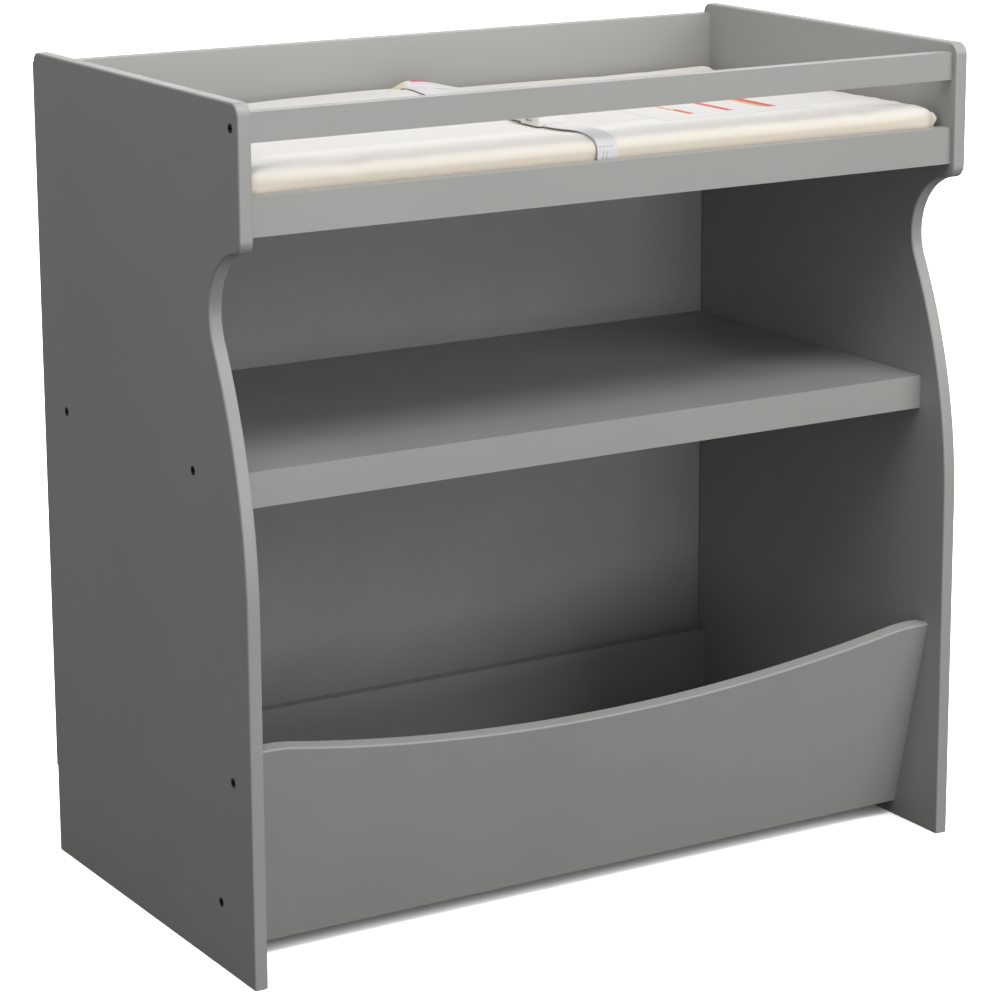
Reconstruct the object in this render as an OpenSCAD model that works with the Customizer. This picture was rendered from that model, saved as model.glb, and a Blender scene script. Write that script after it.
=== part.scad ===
// Changing table with a lift-off pad, a middle shelf and a toy bin.
// Frame: origin under the middle of the table on the floor, +X to its right, -Y to its front, +Z up.

/* [Carcass] */
// Width over both side panels
table_w = 870; // [720:5:1050]
// Depth of a side panel, front edge to rear edge
side_d = 475; // [395:5:570]
// Height of the side panels
table_h = 888; // [740:2:1066]
// Thickness of every board
board_t = 15; // [12.5:0.5:18]
// Thickness of the hardboard back
back_t = 3; // [2.5:0.5:4]
// Radius of a side panel's top front corner
top_front_r = 13; // [5:1:20]
// Radius of a side panel's top rear corner
top_rear_r = 11; // [5:1:20]

/* [Front curve of the side panels] */
// From the deck rail's lower edge down to the deepest point of the curve
bite_drop = 82; // [75:1:110]
// How far the curve cuts back from the front edge
bite_depth = 70; // [58:1:84]
// Radius of the hollow under the deck
bite_r = 67; // [56:1:72]
// Radius of the nose where the hollow starts
nose_r = 14; // [8:1:16]
// Radius of the long swell above the leg
swell_r = 598; // [500:10:720]
// How far the leg's front edge lies behind the top's front edge
leg_setback = 1.3; // [0.5:0.1:3]

/* [Changing deck] */
// From the top of the side panels down to the guard rail
rail_drop = 10; // [5:1:14]
// Height of the guard rail
rail_h = 29.5; // [25:0.5:36]
// Open gap between the guard rail and the deck rail
rail_gap = 51.5; // [43:0.5:62]
// Height of the deck's front rail
deck_rail_h = 39; // [33:1:47]
// How far the two rails lie behind the front edges
rail_recess = 7.5; // [3:0.5:12]
// From the top of the side panels down to the upper back board
back_drop = 11; // [5:1:14]

/* [Shelf] */
// Clear height between the shelf and the deck rail
upper_bay_h = 240; // [200:5:290]
// Height of the shelf's front rail
shelf_rail_h = 36.5; // [31:0.5:44]
// How far the shelf's front rail lies behind the front edges
shelf_setback = 48.5; // [40:0.5:58]

/* [Toy bin] */
// Height of the bin front's lower edge above the floor
bin_foot_z = 17; // [10:1:24]
// How far the bin front's lower edge lies behind the front edges
bin_foot_setback = 78; // [70:1:95]
// Lean of the bin front from upright, top forward
bin_tilt = 13.6; // [9:0.1:15]
// Height of the bin front's ends, measured up its slope
bin_h = 229; // [191:1:275]
// Depth of the dip in the bin front's top edge
bin_dip = 38; // [32:1:46]
// Length of the level stretch at each end of the dip
bin_ear_w = 20; // [14:1:30]
// Radius that leads from the dip to the level ends
bin_ear_r = 150; // [120:5:180]
// Height of the bin floor's underside
bin_floor_z = 30; // [24:1:40]
// Height of the lower back board
lower_back_h = 92; // [80:1:110]
// Height of the back panel's lower edge
back_foot_z = 98; // [82:1:105]
// How far the back panel's sides stay inside the side panels
back_inset = 1; // [0.5:0.5:3]

/* [Changing pad] */
// Thickness of the pad at its edges
pad_t = 44; // [36:1:53]
// Gap between the pad and each side panel
pad_end_gap = 7; // [4:0.5:12]
// Gap between the pad and the deck rail
pad_front_gap = 2.8; // [2.3:0.1:6]
// Gap between the pad and the upper back board
pad_rear_gap = 9; // [5:0.5:14]
// Radius of the pad's upright corners
pad_corner_r = 22; // [18:1:27]
// Thickness of the pad's cover
cover_t = 1; // [0.8:0.1:1.5]
// Place of the safety strap along the table, from its middle
strap_x = -4.5; // [-20:0.5:20]
// Width of the safety strap
strap_w = 25; // [20:1:30]
// Thickness of the safety strap
strap_t = 1.5; // [1:0.1:2]
// Size of the printed patch, along the pad and across it
patch = [190, 116]; // [100:1:240]

/* [Fasteners] */
// Shank diameter of the screws through the side panels
screw_d = 7; // [6:0.5:8]
// Head diameter of these screws
screw_head_d = 9.5; // [9:0.5:12]
// Length of these screws
screw_l = 50; // [40:5:60]
// Diameter of the wooden dowels
dowel_d = 8; // [6:0.5:9]
// Length of the wooden dowels
dowel_l = 30; // [25:1:35]
// Diameter of the cam locks
cam_d = 15; // [12:1:18]
// From the end of a board to the middle of its cam lock
cam_inset = 24; // [20:1:34]
// Diameter of the nail heads
nail_head_d = 5; // [3:0.5:6]

/* [Hidden] */
$fn = 64;

paint = [0.62, 0.62, 0.6];
back_paint = [0.45, 0.45, 0.44];
steel = [0.7, 0.7, 0.72];
dark_steel = [0.25, 0.25, 0.26];
beech = [0.8, 0.66, 0.45];
vinyl = [0.95, 0.94, 0.91];
foam = [0.93, 0.88, 0.7];
webbing = [0.96, 0.95, 0.97];
plastic = [0.93, 0.93, 0.92];

// Clearances
fit_gap = 0.1;   // round the shank of each fastener
pad_gap = 0.3;   // between the pad and the deck
slide_gap = 0.3; // round the buckle's moving half
cut = 1;         // how far a cutting shape runs past the face it opens
arc_lap = 0.05;  // how far a hollow arc cuts into the round arcs it runs into

// Planes of the carcass
inner_w = table_w - 2 * board_t;
side_x = inner_w / 2;
front_y = -(side_d + back_t) / 2;
rear_y = front_y + side_d;
rail_y = front_y + rail_recess;
well_front_y = rail_y + board_t;
well_rear_y = rear_y - board_t;
rail_top = table_h - rail_drop;
rail_z = rail_top - rail_h;
deck_rail_top = rail_z - rail_gap;
deck_z = deck_rail_top - deck_rail_h;
deck_top = deck_z + board_t;
back_top = table_h - back_drop;
shelf_top = deck_z - upper_bay_h;
shelf_z = shelf_top - board_t;
shelf_rail_y = front_y + shelf_setback;
shelf_y = shelf_rail_y + board_t;
bin_foot_y = front_y + bin_foot_setback;
bin_floor_top = bin_floor_z + board_t;

// Circles of the side panel's front curve, each as [y, z]
bite_c = [front_y + bite_depth - bite_r, deck_z - bite_drop];
swell_y = front_y + leg_setback + swell_r;
swell_c = [swell_y, bite_c[1] - sqrt(pow(bite_r + swell_r, 2) - pow(swell_y - bite_c[0], 2))];
nose_y = front_y + nose_r;
nose_c = [nose_y, bite_c[1] + sqrt(pow(bite_r + nose_r, 2) - pow(nose_y - bite_c[0], 2))];
bite_swell = bite_c + (swell_c - bite_c) * bite_r / (bite_r + swell_r);
bite_nose = bite_c + (nose_c - bite_c) * bite_r / (bite_r + nose_r);

// The dip of the bin front: one wide arc between two small ones
bin_ear_x = side_x - bin_ear_w;
bin_arc_r = (pow(bin_ear_x, 2) + pow(bin_dip, 2)) / (2 * bin_dip) - bin_ear_r;
bin_join = bin_ear_x * bin_arc_r / (bin_arc_r + bin_ear_r);

// Where a point up the slope of the bin front and into its thickness lies, as [y, z]
function on_bin(up, deep) = [
    bin_foot_y - up * sin(bin_tilt) + deep * cos(bin_tilt),
    bin_foot_z + up * cos(bin_tilt) + deep * sin(bin_tilt)
];
// Depth of the bin front's rear face at a height
function bin_rear_y(z) = bin_foot_y + board_t / cos(bin_tilt) - (z - bin_foot_z) * tan(bin_tilt);
// Evenly spaced places, with a margin at both ends
function spread(low, high, count) = [for (i = [0:count - 1]) low + (high - low) * i / (count - 1)];

// Fasteners through or into the side panels, each as [y, z]
shelf_screw_front = 50; // from the shelf's front edge
shelf_screw_rear = 58;  // from its rear edge
bin_screw_low = 54;     // up the slope from the bin front's lower edge
bin_screw_high = 35;    // down the slope from its upper edge
half_t = board_t / 2;
rail_screws = [[rail_y + half_t, rail_z + rail_h / 2]];
shelf_screws = [
    for (y = [shelf_y + shelf_screw_front, rear_y - shelf_screw_rear]) [y, shelf_z + half_t]
];
bin_screws = [for (up = [bin_screw_low, bin_h - bin_screw_high]) on_bin(up, half_t)];
cam_margin = 60;        // from a board's long edge to its cam locks
dowel_step = 32;        // from a cam lock to the dowel beside it
back_cam_rise = 42;     // above the upper back board's lower edge
back_dowel_drop = 30;   // below its upper edge
low_cam_rise = 24;      // above the bin floor
low_dowel_drop = 18;    // below the lower back board's upper edge
rail_dowel_share = 2 / 3;
deck_bolts = [for (y = [well_front_y + cam_margin, well_rear_y - cam_margin]) [y, deck_z + half_t]];
deck_dowels = [for (b = deck_bolts) [b[0] - sign(b[0]) * dowel_step, b[1]]];
floor_bolts = [
    for (y = [bin_rear_y(bin_floor_z) + cam_margin, well_rear_y - cam_margin])
        [y, bin_floor_z + half_t]
];
floor_dowels = [for (b = floor_bolts) [b[0] - sign(b[0]) * dowel_step, b[1]]];
upper_back_bolt = [rear_y - half_t, deck_z + back_cam_rise];
upper_back_dowels = [[rear_y - half_t, back_top - back_dowel_drop]];
lower_back_bolt = [rear_y - half_t, bin_floor_top + low_cam_rise];
lower_back_dowels = [[rear_y - half_t, bin_floor_z + lower_back_h - low_dowel_drop]];
rail_dowels = [[rail_y + half_t, deck_z + deck_rail_h * rail_dowel_share]];
screw_places = concat(rail_screws, shelf_screws, bin_screws);
bolt_places = concat(deck_bolts, floor_bolts, [upper_back_bolt, lower_back_bolt]);
side_dowel_places = concat(
    deck_dowels, floor_dowels, upper_back_dowels, lower_back_dowels, rail_dowels
);

// Fastener details
head_h = 3;
socket_d = 4.6;
socket_deep = 2.4;
thread_d = 5;
bolt_thread_l = 10;
bolt_d = 6;
bolt_head_d = 7;
bolt_head_l = 3;
bolt_bore_d = 8;
cam_past_middle = 5;
cam_h = half_t + cam_past_middle;
cam_slot = [9, 1.6, 1.5];
dowel_in_face = 10;
cross_dowel_margin = 90;
cross_dowels = 4;
cross_dowel_x = spread(cross_dowel_margin - side_x, side_x - cross_dowel_margin, cross_dowels);
nail_d = 1.6;
nail_head_h = 1;
nail_l = 16;
nail_margin = 60;      // from the side panels to the first nail of a row
nails_across = 6;
edge_nail_margin = 40; // from the back's lower and upper edges
nails_up = 7;
top_nail_drop = 20;    // below the upper back board's upper edge
low_nail_drop = 12;    // below the lower back board's upper edge
nail_x = spread(nail_margin - side_x, side_x - nail_margin, nails_across);
edge_nail_z = spread(back_foot_z + edge_nail_margin, back_top - edge_nail_margin, nails_up);
row_nail_z = [back_top - top_nail_drop, shelf_z + half_t, bin_floor_z + lower_back_h - low_nail_drop];

// The pad
pad_z = deck_top + pad_gap;
pad_top = pad_z + pad_t;
pad_x = side_x - pad_end_gap;
pad_front = well_front_y + pad_front_gap;
pad_rear = well_rear_y - pad_rear_gap;
strap_foot = 10;  // how far the strap's ends stay above the pad's underside
strap_top = pad_top + strap_t;
patch_t = 0.4;
patch_x = 187;
patch_front = 42;
tag = [50, 1.2, 10];
tag_x = 15;
tag_inset = 5.2;  // from the pad's rear edge to the tag's front

// The buckle
buckle_y = pad_front + 106;
socket_size = [34, 36, 11];
socket_wall = 2;
socket_end = 8;    // thickness of the closed end
socket_r = 5;
socket_floor = socket_wall + strap_t;
socket_room = socket_size[2] - socket_wall - socket_floor;
window = [6, 14];  // openings the prongs show through at both sides
window_y = 13;
plug_bar = 13;
plug_slot = [4, 5]; // width of the strap's slot and its place in the bar
prong = [4.5, 26, 4.5];
prong_inset = 1;
prong_root = 1;    // how far the prongs run into the bar
guide_w = 5;
guide_short = 6;   // how much shorter the guide is than the prongs
buckle_z = strap_top + slide_gap;

// Copies its children to the other side of the table
module both_ends() {
    children();
    mirror([1, 0, 0]) children();
}

// Runs a (y, z) outline along X from one place to another
module along_x(from, to) {
    translate([from, 0, 0]) rotate([90, 0, 90]) linear_extrude(to - from) children();
}

// A board given by its two corners
module board(low, high) {
    translate(low) cube(high - low);
}

// A round hole or bar that runs along X from one place to another
module bar_x(place, d, from, to) {
    translate([from, place[0], place[1]]) rotate([0, 90, 0]) cylinder(h = to - from, d = d);
}

// The same along Y
module bar_y(x, z, d, from, to) {
    translate([x, from, z]) rotate([-90, 0, 0]) cylinder(h = to - from, d = d);
}

// What is left of a square corner outside its round
module corner_waste(r) {
    difference() {
        square(r + cut);
        circle(r);
    }
}

// The air in front of the side panel, under its nose and down to the leg
module front_air() {
    translate(bite_c) circle(bite_r + arc_lap, $fn = 160);
    difference() {
        polygon([
            [front_y - cut, swell_c[1]], [front_y + leg_setback, swell_c[1]],
            bite_swell, bite_c, [front_y - cut, bite_c[1]]
        ]);
        translate(swell_c) circle(swell_r, $fn = 720);
    }
    difference() {
        polygon([
            [front_y - cut, bite_c[1]], bite_c, bite_nose, nose_c, [front_y - cut, nose_c[1]]
        ]);
        translate(nose_c) circle(nose_r);
    }
    translate([front_y - cut, -cut]) square([cut + leg_setback, swell_c[1] + cut]);
}

module side_outline() {
    difference() {
        translate([front_y, 0]) square([side_d, table_h]);
        front_air();
        translate([front_y + top_front_r, table_h - top_front_r])
            mirror([1, 0]) corner_waste(top_front_r);
        translate([rear_y - top_rear_r, table_h - top_rear_r]) corner_waste(top_rear_r);
    }
}

// Nail holes through the back and into what stands in front of it
module nail_holes() {
    for (p = nail_places()) {
        bar_y(p[0], p[1], nail_d + 2 * fit_gap, rear_y + back_t - nail_l, rear_y + back_t + cut);
        bar_y(
            p[0], p[1], nail_head_d + 2 * fit_gap,
            rear_y + back_t - nail_head_h, rear_y + back_t + cut
        );
    }
}

function nail_places() = concat(
    [for (s = [-1, 1], z = edge_nail_z) [s * (side_x + half_t), z]],
    [for (x = nail_x, z = row_nail_z) [x, z]]
);

module side_panel() {
    difference() {
        along_x(side_x, side_x + board_t) side_outline();
        for (p = screw_places) {
            bar_x(p, screw_d + 2 * fit_gap, side_x - cut, side_x + board_t + cut);
            bar_x(p, screw_head_d + 2 * fit_gap, side_x + board_t - head_h, side_x + board_t + cut);
        }
        for (p = bolt_places) bar_x(p, thread_d + 2 * fit_gap, side_x - cut, side_x + bolt_thread_l);
        for (p = side_dowel_places) bar_x(p, dowel_d + 2 * fit_gap, side_x - cut, side_x + dowel_in_face);
        nail_holes();
    }
}

// Bores in the end of a board for screws
module screw_bores(places) {
    both_ends() for (p = places)
        bar_x(p, thread_d + 2 * fit_gap, side_x + board_t - screw_l, side_x + cut);
}

// Bores in the end of a board for dowels
module dowel_bores(places) {
    both_ends() for (p = places)
        bar_x(p, dowel_d + 2 * fit_gap, side_x + dowel_in_face - dowel_l, side_x + cut);
}

// A cam lock's pocket and its bore from the end; turn is the side it opens to, down or rear
module cam_bores(places, turn) {
    both_ends() for (p = places) {
        bar_x(p, bolt_bore_d, side_x - cam_inset, side_x + cut);
        at_cam(p, turn) translate([0, 0, -cut]) cylinder(h = cam_h + cut, d = cam_d + 2 * fit_gap);
    }
}

// Moves its children to a cam lock, with +Z running from the open face into the board
module at_cam(place, turn) {
    translate([side_x - cam_inset, place[0], place[1]])
        rotate(turn == "down" ? [0, 0, 0] : [90, 0, 0])
            translate([0, 0, -half_t]) children();
}

// Dowel holes across a joint between two boards that meet at the plane y, face on the low side
module cross_dowel_holes(y, z, face_side) {
    low = face_side < 0 ? y - dowel_in_face : y - (dowel_l - dowel_in_face);
    for (x = cross_dowel_x) bar_y(x, z, dowel_d + 2 * fit_gap, low, low + dowel_l);
}

module left_side_panel() {
    color(paint) mirror([1, 0, 0]) side_panel();
}

module right_side_panel() {
    color(paint) side_panel();
}

module guard_rail() {
    color(paint) difference() {
        board([-side_x, rail_y, rail_z], [side_x, rail_y + board_t, rail_top]);
        screw_bores(rail_screws);
    }
}

module deck_front_rail() {
    color(paint) difference() {
        board([-side_x, rail_y, deck_z], [side_x, well_front_y, deck_rail_top]);
        dowel_bores(rail_dowels);
        cross_dowel_holes(well_front_y, deck_z + half_t, -1);
    }
}

module changing_deck() {
    color(paint) difference() {
        board([-side_x, well_front_y, deck_z], [side_x, well_rear_y, deck_top]);
        cam_bores(deck_bolts, "down");
        dowel_bores(deck_dowels);
        cross_dowel_holes(well_front_y, deck_z + half_t, -1);
        cross_dowel_holes(well_rear_y, deck_z + half_t, 1);
    }
}

module upper_back_board() {
    color(paint) difference() {
        board([-side_x, well_rear_y, deck_z], [side_x, rear_y, back_top]);
        cam_bores([upper_back_bolt], "rear");
        dowel_bores(upper_back_dowels);
        cross_dowel_holes(well_rear_y, deck_z + half_t, 1);
        nail_holes();
    }
}

module middle_shelf() {
    color(paint) difference() {
        board([-side_x, shelf_y, shelf_z], [side_x, rear_y, shelf_top]);
        screw_bores(shelf_screws);
        cross_dowel_holes(shelf_y, shelf_z + half_t, -1);
        nail_holes();
    }
}

module shelf_front_rail() {
    color(paint) difference() {
        board([-side_x, shelf_rail_y, shelf_top - shelf_rail_h], [side_x, shelf_y, shelf_top]);
        cross_dowel_holes(shelf_y, shelf_z + half_t, -1);
    }
}

// Outline of the bin front on its own slope, x along the table and y up the slope
module bin_outline() {
    difference() {
        translate([-side_x, 0]) square([inner_w, bin_h]);
        translate([0, bin_h - bin_dip + bin_arc_r]) circle(bin_arc_r + arc_lap, $fn = 1440);
        for (s = [-1, 1]) difference() {
            polygon([
                [s * bin_join, bin_h + cut], [s * bin_ear_x, bin_h + cut],
                [s * bin_ear_x, bin_h - bin_ear_r],
                [s * bin_join, bin_h - bin_ear_r + sqrt(pow(bin_ear_r, 2) - pow(bin_ear_x - bin_join, 2))]
            ]);
            translate([s * bin_ear_x, bin_h - bin_ear_r]) circle(bin_ear_r, $fn = 360);
        }
    }
}

module bin_front_panel() {
    color(paint) difference() {
        translate([0, bin_foot_y, bin_foot_z]) rotate([bin_tilt + 90, 0, 0])
            translate([0, 0, -board_t]) linear_extrude(board_t) bin_outline();
        screw_bores(bin_screws);
    }
}

module bin_floor() {
    color(paint) difference() {
        along_x(-side_x, side_x) polygon([
            [bin_rear_y(bin_floor_z), bin_floor_z], [well_rear_y, bin_floor_z],
            [well_rear_y, bin_floor_top], [bin_rear_y(bin_floor_top), bin_floor_top]
        ]);
        cam_bores(floor_bolts, "down");
        dowel_bores(floor_dowels);
        cross_dowel_holes(well_rear_y, bin_floor_z + half_t, 1);
    }
}

module lower_back_board() {
    color(paint) difference() {
        board([-side_x, well_rear_y, bin_floor_z], [side_x, rear_y, bin_floor_z + lower_back_h]);
        cam_bores([lower_back_bolt], "rear");
        dowel_bores(lower_back_dowels);
        cross_dowel_holes(well_rear_y, bin_floor_z + half_t, 1);
        nail_holes();
    }
}

module back_panel() {
    edge_x = table_w / 2 - back_inset;
    color(back_paint) difference() {
        board([-edge_x, rear_y, back_foot_z], [edge_x, rear_y + back_t, back_top]);
        nail_holes();
    }
}

module side_screws() {
    outer = side_x + board_t;
    color(dark_steel) both_ends() for (p = screw_places) difference() {
        union() {
            bar_x(p, screw_head_d, outer - head_h, outer);
            bar_x(p, screw_d, side_x, outer - head_h);
            bar_x(p, thread_d, outer - screw_l, side_x);
        }
        translate([outer - socket_deep, p[0], p[1]]) rotate([0, 90, 0])
            cylinder(h = socket_deep + cut, d = socket_d, $fn = 6);
    }
}

module cam_lock(place, turn) {
    difference() {
        at_cam(place, turn) difference() {
            cylinder(h = cam_h, d = cam_d);
            for (a = [0, 90]) rotate(a)
                translate([-cam_slot[0] / 2, -cam_slot[1] / 2, -cut])
                    cube([cam_slot[0], cam_slot[1], cam_slot[2] + cut]);
        }
        bar_x(place, bolt_bore_d, side_x - cam_inset, side_x);
    }
}

module cam_locks() {
    color(steel) both_ends() {
        for (p = concat(deck_bolts, floor_bolts)) cam_lock(p, "down");
        for (p = [upper_back_bolt, lower_back_bolt]) cam_lock(p, "rear");
    }
}

module cam_bolts() {
    color(steel) both_ends() for (p = bolt_places) {
        bar_x(p, thread_d, side_x, side_x + bolt_thread_l);
        bar_x(p, bolt_d, side_x - cam_inset + bolt_head_l, side_x);
        bar_x(p, bolt_head_d, side_x - cam_inset, side_x - cam_inset + bolt_head_l);
    }
}

module wooden_dowels() {
    color(beech) {
        both_ends() for (p = side_dowel_places)
            bar_x(p, dowel_d, side_x + dowel_in_face - dowel_l, side_x + dowel_in_face);
        for (x = cross_dowel_x) {
            for (z = [deck_z + half_t, bin_floor_z + half_t])
                bar_y(x, z, dowel_d, well_rear_y + dowel_in_face - dowel_l, well_rear_y + dowel_in_face);
            for (p = [[well_front_y, deck_z + half_t], [shelf_y, shelf_z + half_t]])
                bar_y(x, p[1], dowel_d, p[0] - dowel_in_face, p[0] - dowel_in_face + dowel_l);
        }
    }
}

module back_nails() {
    outer = rear_y + back_t;
    color(steel) for (p = nail_places()) {
        bar_y(p[0], p[1], nail_d, outer - nail_l, outer - nail_head_h);
        bar_y(p[0], p[1], nail_head_d, outer - nail_head_h, outer);
    }
}

// A block with round upright corners, drawn in by inset on every side
module pad_block(inset) {
    r = pad_corner_r - inset;
    low = [-pad_x + inset, pad_front + inset];
    high = [pad_x - inset, pad_rear - inset];
    translate([0, 0, pad_z + inset]) linear_extrude(pad_t - 2 * inset) {
        translate([low[0] + r, low[1]]) square([high[0] - low[0] - 2 * r, high[1] - low[1]]);
        translate([low[0], low[1] + r]) square([high[0] - low[0], high[1] - low[1] - 2 * r]);
        for (x = [low[0] + r, high[0] - r], y = [low[1] + r, high[1] - r])
            translate([x, y]) circle(r);
    }
}

module pad_cover() {
    color(vinyl) difference() {
        pad_block(0);
        pad_block(cover_t);
    }
}

module pad_foam() {
    color(foam) pad_block(cover_t);
}

module front_strap() {
    color(webbing) along_x(strap_x - strap_w / 2, strap_x + strap_w / 2) polygon([
        [pad_front - strap_t, pad_z + strap_foot], [pad_front, pad_z + strap_foot],
        [pad_front, pad_top], [buckle_y, pad_top], [buckle_y, strap_top],
        [pad_front - strap_t, strap_top]
    ]);
}

module rear_strap() {
    start = buckle_y + socket_size[1];
    color(webbing) along_x(strap_x - strap_w / 2, strap_x + strap_w / 2) polygon([
        [start, pad_top], [pad_rear, pad_top], [pad_rear, pad_z + strap_foot],
        [pad_rear + strap_t, pad_z + strap_foot], [pad_rear + strap_t, strap_top], [start, strap_top]
    ]);
}

module strap_tag() {
    color(webbing) translate([tag_x - tag[0] / 2, pad_rear - tag_inset, strap_top]) cube(tag);
}

module printed_patch() {
    color([0.95, 0.6, 0.5]) translate([patch_x - patch[0] / 2, pad_front + patch_front, pad_top])
        cube([patch[0], patch[1], patch_t]);
}

// The buckle's outline seen from above, from its front edge back
module socket_outline() {
    w = socket_size[0];
    l = socket_size[1];
    translate([-w / 2, socket_r]) square([w, l - socket_r]);
    translate([-w / 2 + socket_r, 0]) square([w - 2 * socket_r, l]);
    for (s = [-1, 1]) translate([s * (w / 2 - socket_r), socket_r]) circle(socket_r);
}

module buckle_socket() {
    w = socket_size[0];
    l = socket_size[1];
    color(plastic) translate([strap_x, buckle_y, pad_top]) difference() {
        linear_extrude(socket_size[2]) socket_outline();
        translate([socket_wall - w / 2, socket_end, socket_floor])
            cube([w - 2 * socket_wall, l, socket_room]);
        for (s = [-1, 1]) translate([(s * w - window[0]) / 2, window_y, socket_floor])
            cube([window[0], window[1], socket_room]);
    }
}

// The plug's bar with the strap's slot, its two prongs and the guide between them
module buckle_plug() {
    w = socket_size[0];
    start = buckle_y + socket_size[1];
    bar_front = start + slide_gap;
    prong_x = w / 2 - socket_wall - prong_inset - prong[0] / 2;
    low = pad_top + socket_floor + slide_gap;
    guide_y = start - prong[1] + guide_short;
    color(plastic) translate([strap_x, 0, 0]) {
        difference() {
            translate([-w / 2, bar_front, buckle_z])
                cube([w, plug_bar, pad_top + socket_size[2] - buckle_z]);
            translate([-strap_w / 2, bar_front + plug_slot[1], buckle_z - cut])
                cube([strap_w, plug_slot[0], socket_size[2] + 2 * cut]);
        }
        for (s = [-1, 1]) translate([s * prong_x - prong[0] / 2, start - prong[1], low])
            cube([prong[0], prong[1] + slide_gap + prong_root, prong[2]]);
        translate([-guide_w / 2, guide_y, low])
            cube([guide_w, bar_front + prong_root - guide_y, prong[2]]);
    }
}

left_side_panel();
right_side_panel();
guard_rail();
deck_front_rail();
changing_deck();
upper_back_board();
middle_shelf();
shelf_front_rail();
bin_front_panel();
bin_floor();
lower_back_board();
back_panel();
side_screws();
cam_locks();
cam_bolts();
wooden_dowels();
back_nails();
pad_cover();
pad_foam();
front_strap();
rear_strap();
strap_tag();
printed_patch();
buckle_socket();
buckle_plug();
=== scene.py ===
import math

import bmesh
import bpy
import numpy as np
from mathutils import Matrix, Vector
from mathutils.bvhtree import BVHTree
from mathutils.geometry import tessellate_polygon


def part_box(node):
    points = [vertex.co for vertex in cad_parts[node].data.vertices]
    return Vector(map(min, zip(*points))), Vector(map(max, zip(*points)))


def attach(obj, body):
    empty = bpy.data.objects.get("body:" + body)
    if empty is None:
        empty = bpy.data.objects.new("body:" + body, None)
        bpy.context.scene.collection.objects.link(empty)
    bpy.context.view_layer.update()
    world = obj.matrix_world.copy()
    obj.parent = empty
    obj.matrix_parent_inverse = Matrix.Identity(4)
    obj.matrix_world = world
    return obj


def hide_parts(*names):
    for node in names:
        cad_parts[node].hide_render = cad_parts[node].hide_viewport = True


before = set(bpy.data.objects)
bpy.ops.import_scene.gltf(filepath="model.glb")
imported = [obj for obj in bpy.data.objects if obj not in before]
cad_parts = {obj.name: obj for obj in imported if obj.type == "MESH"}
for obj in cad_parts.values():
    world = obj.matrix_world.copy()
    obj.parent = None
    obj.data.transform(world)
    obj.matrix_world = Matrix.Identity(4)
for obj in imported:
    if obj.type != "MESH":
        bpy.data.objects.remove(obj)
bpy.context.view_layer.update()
MM = 0.001

# ---------------------------------------------------------------- camera

CAMERA_PLACE = Vector((-1.853, -3.0665, 1.327))
CAMERA_AZIMUTH = math.radians(-31.08)
CAMERA_ELEVATION = math.radians(12.93)
CAMERA_ROLL = math.radians(-0.25)
LENS = 122.1
SENSOR = 36.0
VIEW_SHIFT = -0.10  # how far the view is shifted down, in widths of the picture


def make_camera():
    """The camera at CAMERA_PLACE, turned by its azimuth and elevation and rolled about its line of sight."""
    a, e, r = CAMERA_AZIMUTH, CAMERA_ELEVATION, CAMERA_ROLL
    back = Vector((math.sin(a) * math.cos(e), -math.cos(a) * math.cos(e), math.sin(e)))
    level = (-back).cross(Vector((0, 0, 1))).normalized()
    upright = level.cross(-back)
    right = math.cos(r) * level + math.sin(r) * upright
    up = -math.sin(r) * level + math.cos(r) * upright
    data = bpy.data.cameras.new("camera")
    data.lens, data.sensor_width, data.shift_y = LENS, SENSOR, VIEW_SHIFT
    camera = linked("camera", data)
    turn = Matrix((right, up, back)).transposed()
    camera.matrix_world = Matrix.Translation(CAMERA_PLACE) @ turn.to_4x4()
    bpy.context.scene.camera = camera


# ---------------------------------------------------------------- mesh helpers


def linked(name, data):
    """An object with this mesh, light or camera, in the scene."""
    made = bpy.data.objects.new(name, data)
    bpy.context.scene.collection.objects.link(made)
    return made


def mesh_object(name, points, faces, uv=None):
    """A smooth mesh object at the origin; uv gives a place on the surface, in metres, for each vertex."""
    mesh = bpy.data.meshes.new(name)
    mesh.from_pydata(points.tolist(), [], faces.tolist() if hasattr(faces, "tolist") else faces)
    mesh.polygons.foreach_set("use_smooth", np.ones(len(mesh.polygons), bool))
    if uv is not None:
        corners = np.zeros(len(mesh.loops), np.int32)
        mesh.loops.foreach_get("vertex_index", corners)
        layer = mesh.uv_layers.new(name="surface")
        layer.data.foreach_set("uv", uv[corners].astype(np.float32).ravel())
    return linked(name, mesh)


def grid_faces(rows, columns, wrap=False):
    """Quads of a grid of rows x columns points; wrap joins the last column to the first."""
    i = np.arange(rows - 1)[:, None]
    j = np.arange(columns if wrap else columns - 1)[None, :]
    k = (j + 1) % columns
    quads = np.stack([i * columns + j, i * columns + k, (i + 1) * columns + k, (i + 1) * columns + j], -1)
    return quads.reshape(-1, 4)


def tube_faces(rows, columns, first=0):
    """Faces of a closed tube whose vertices start at first: a wrapped grid and a cap at each end."""
    faces = (grid_faces(rows, columns, wrap=True) + first).tolist()
    last = first + (rows - 1) * columns
    return faces + [list(range(first, first + columns)), list(range(last, last + columns))[::-1]]


def outward(made):
    """Turns a closed mesh's faces outwards."""
    bm = bmesh.new()
    bm.from_mesh(made.data)
    bmesh.ops.remove_doubles(bm, verts=bm.verts, dist=1e-7)
    bmesh.ops.recalc_face_normals(bm, faces=bm.faces)
    bm.to_mesh(made.data)
    bm.free()
    return made


def add(made, kind, **settings):
    """Adds a modifier with these settings."""
    modifier = made.modifiers.new(kind.lower(), kind)
    for name, value in settings.items():
        setattr(modifier, name, value)
    return modifier


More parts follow.
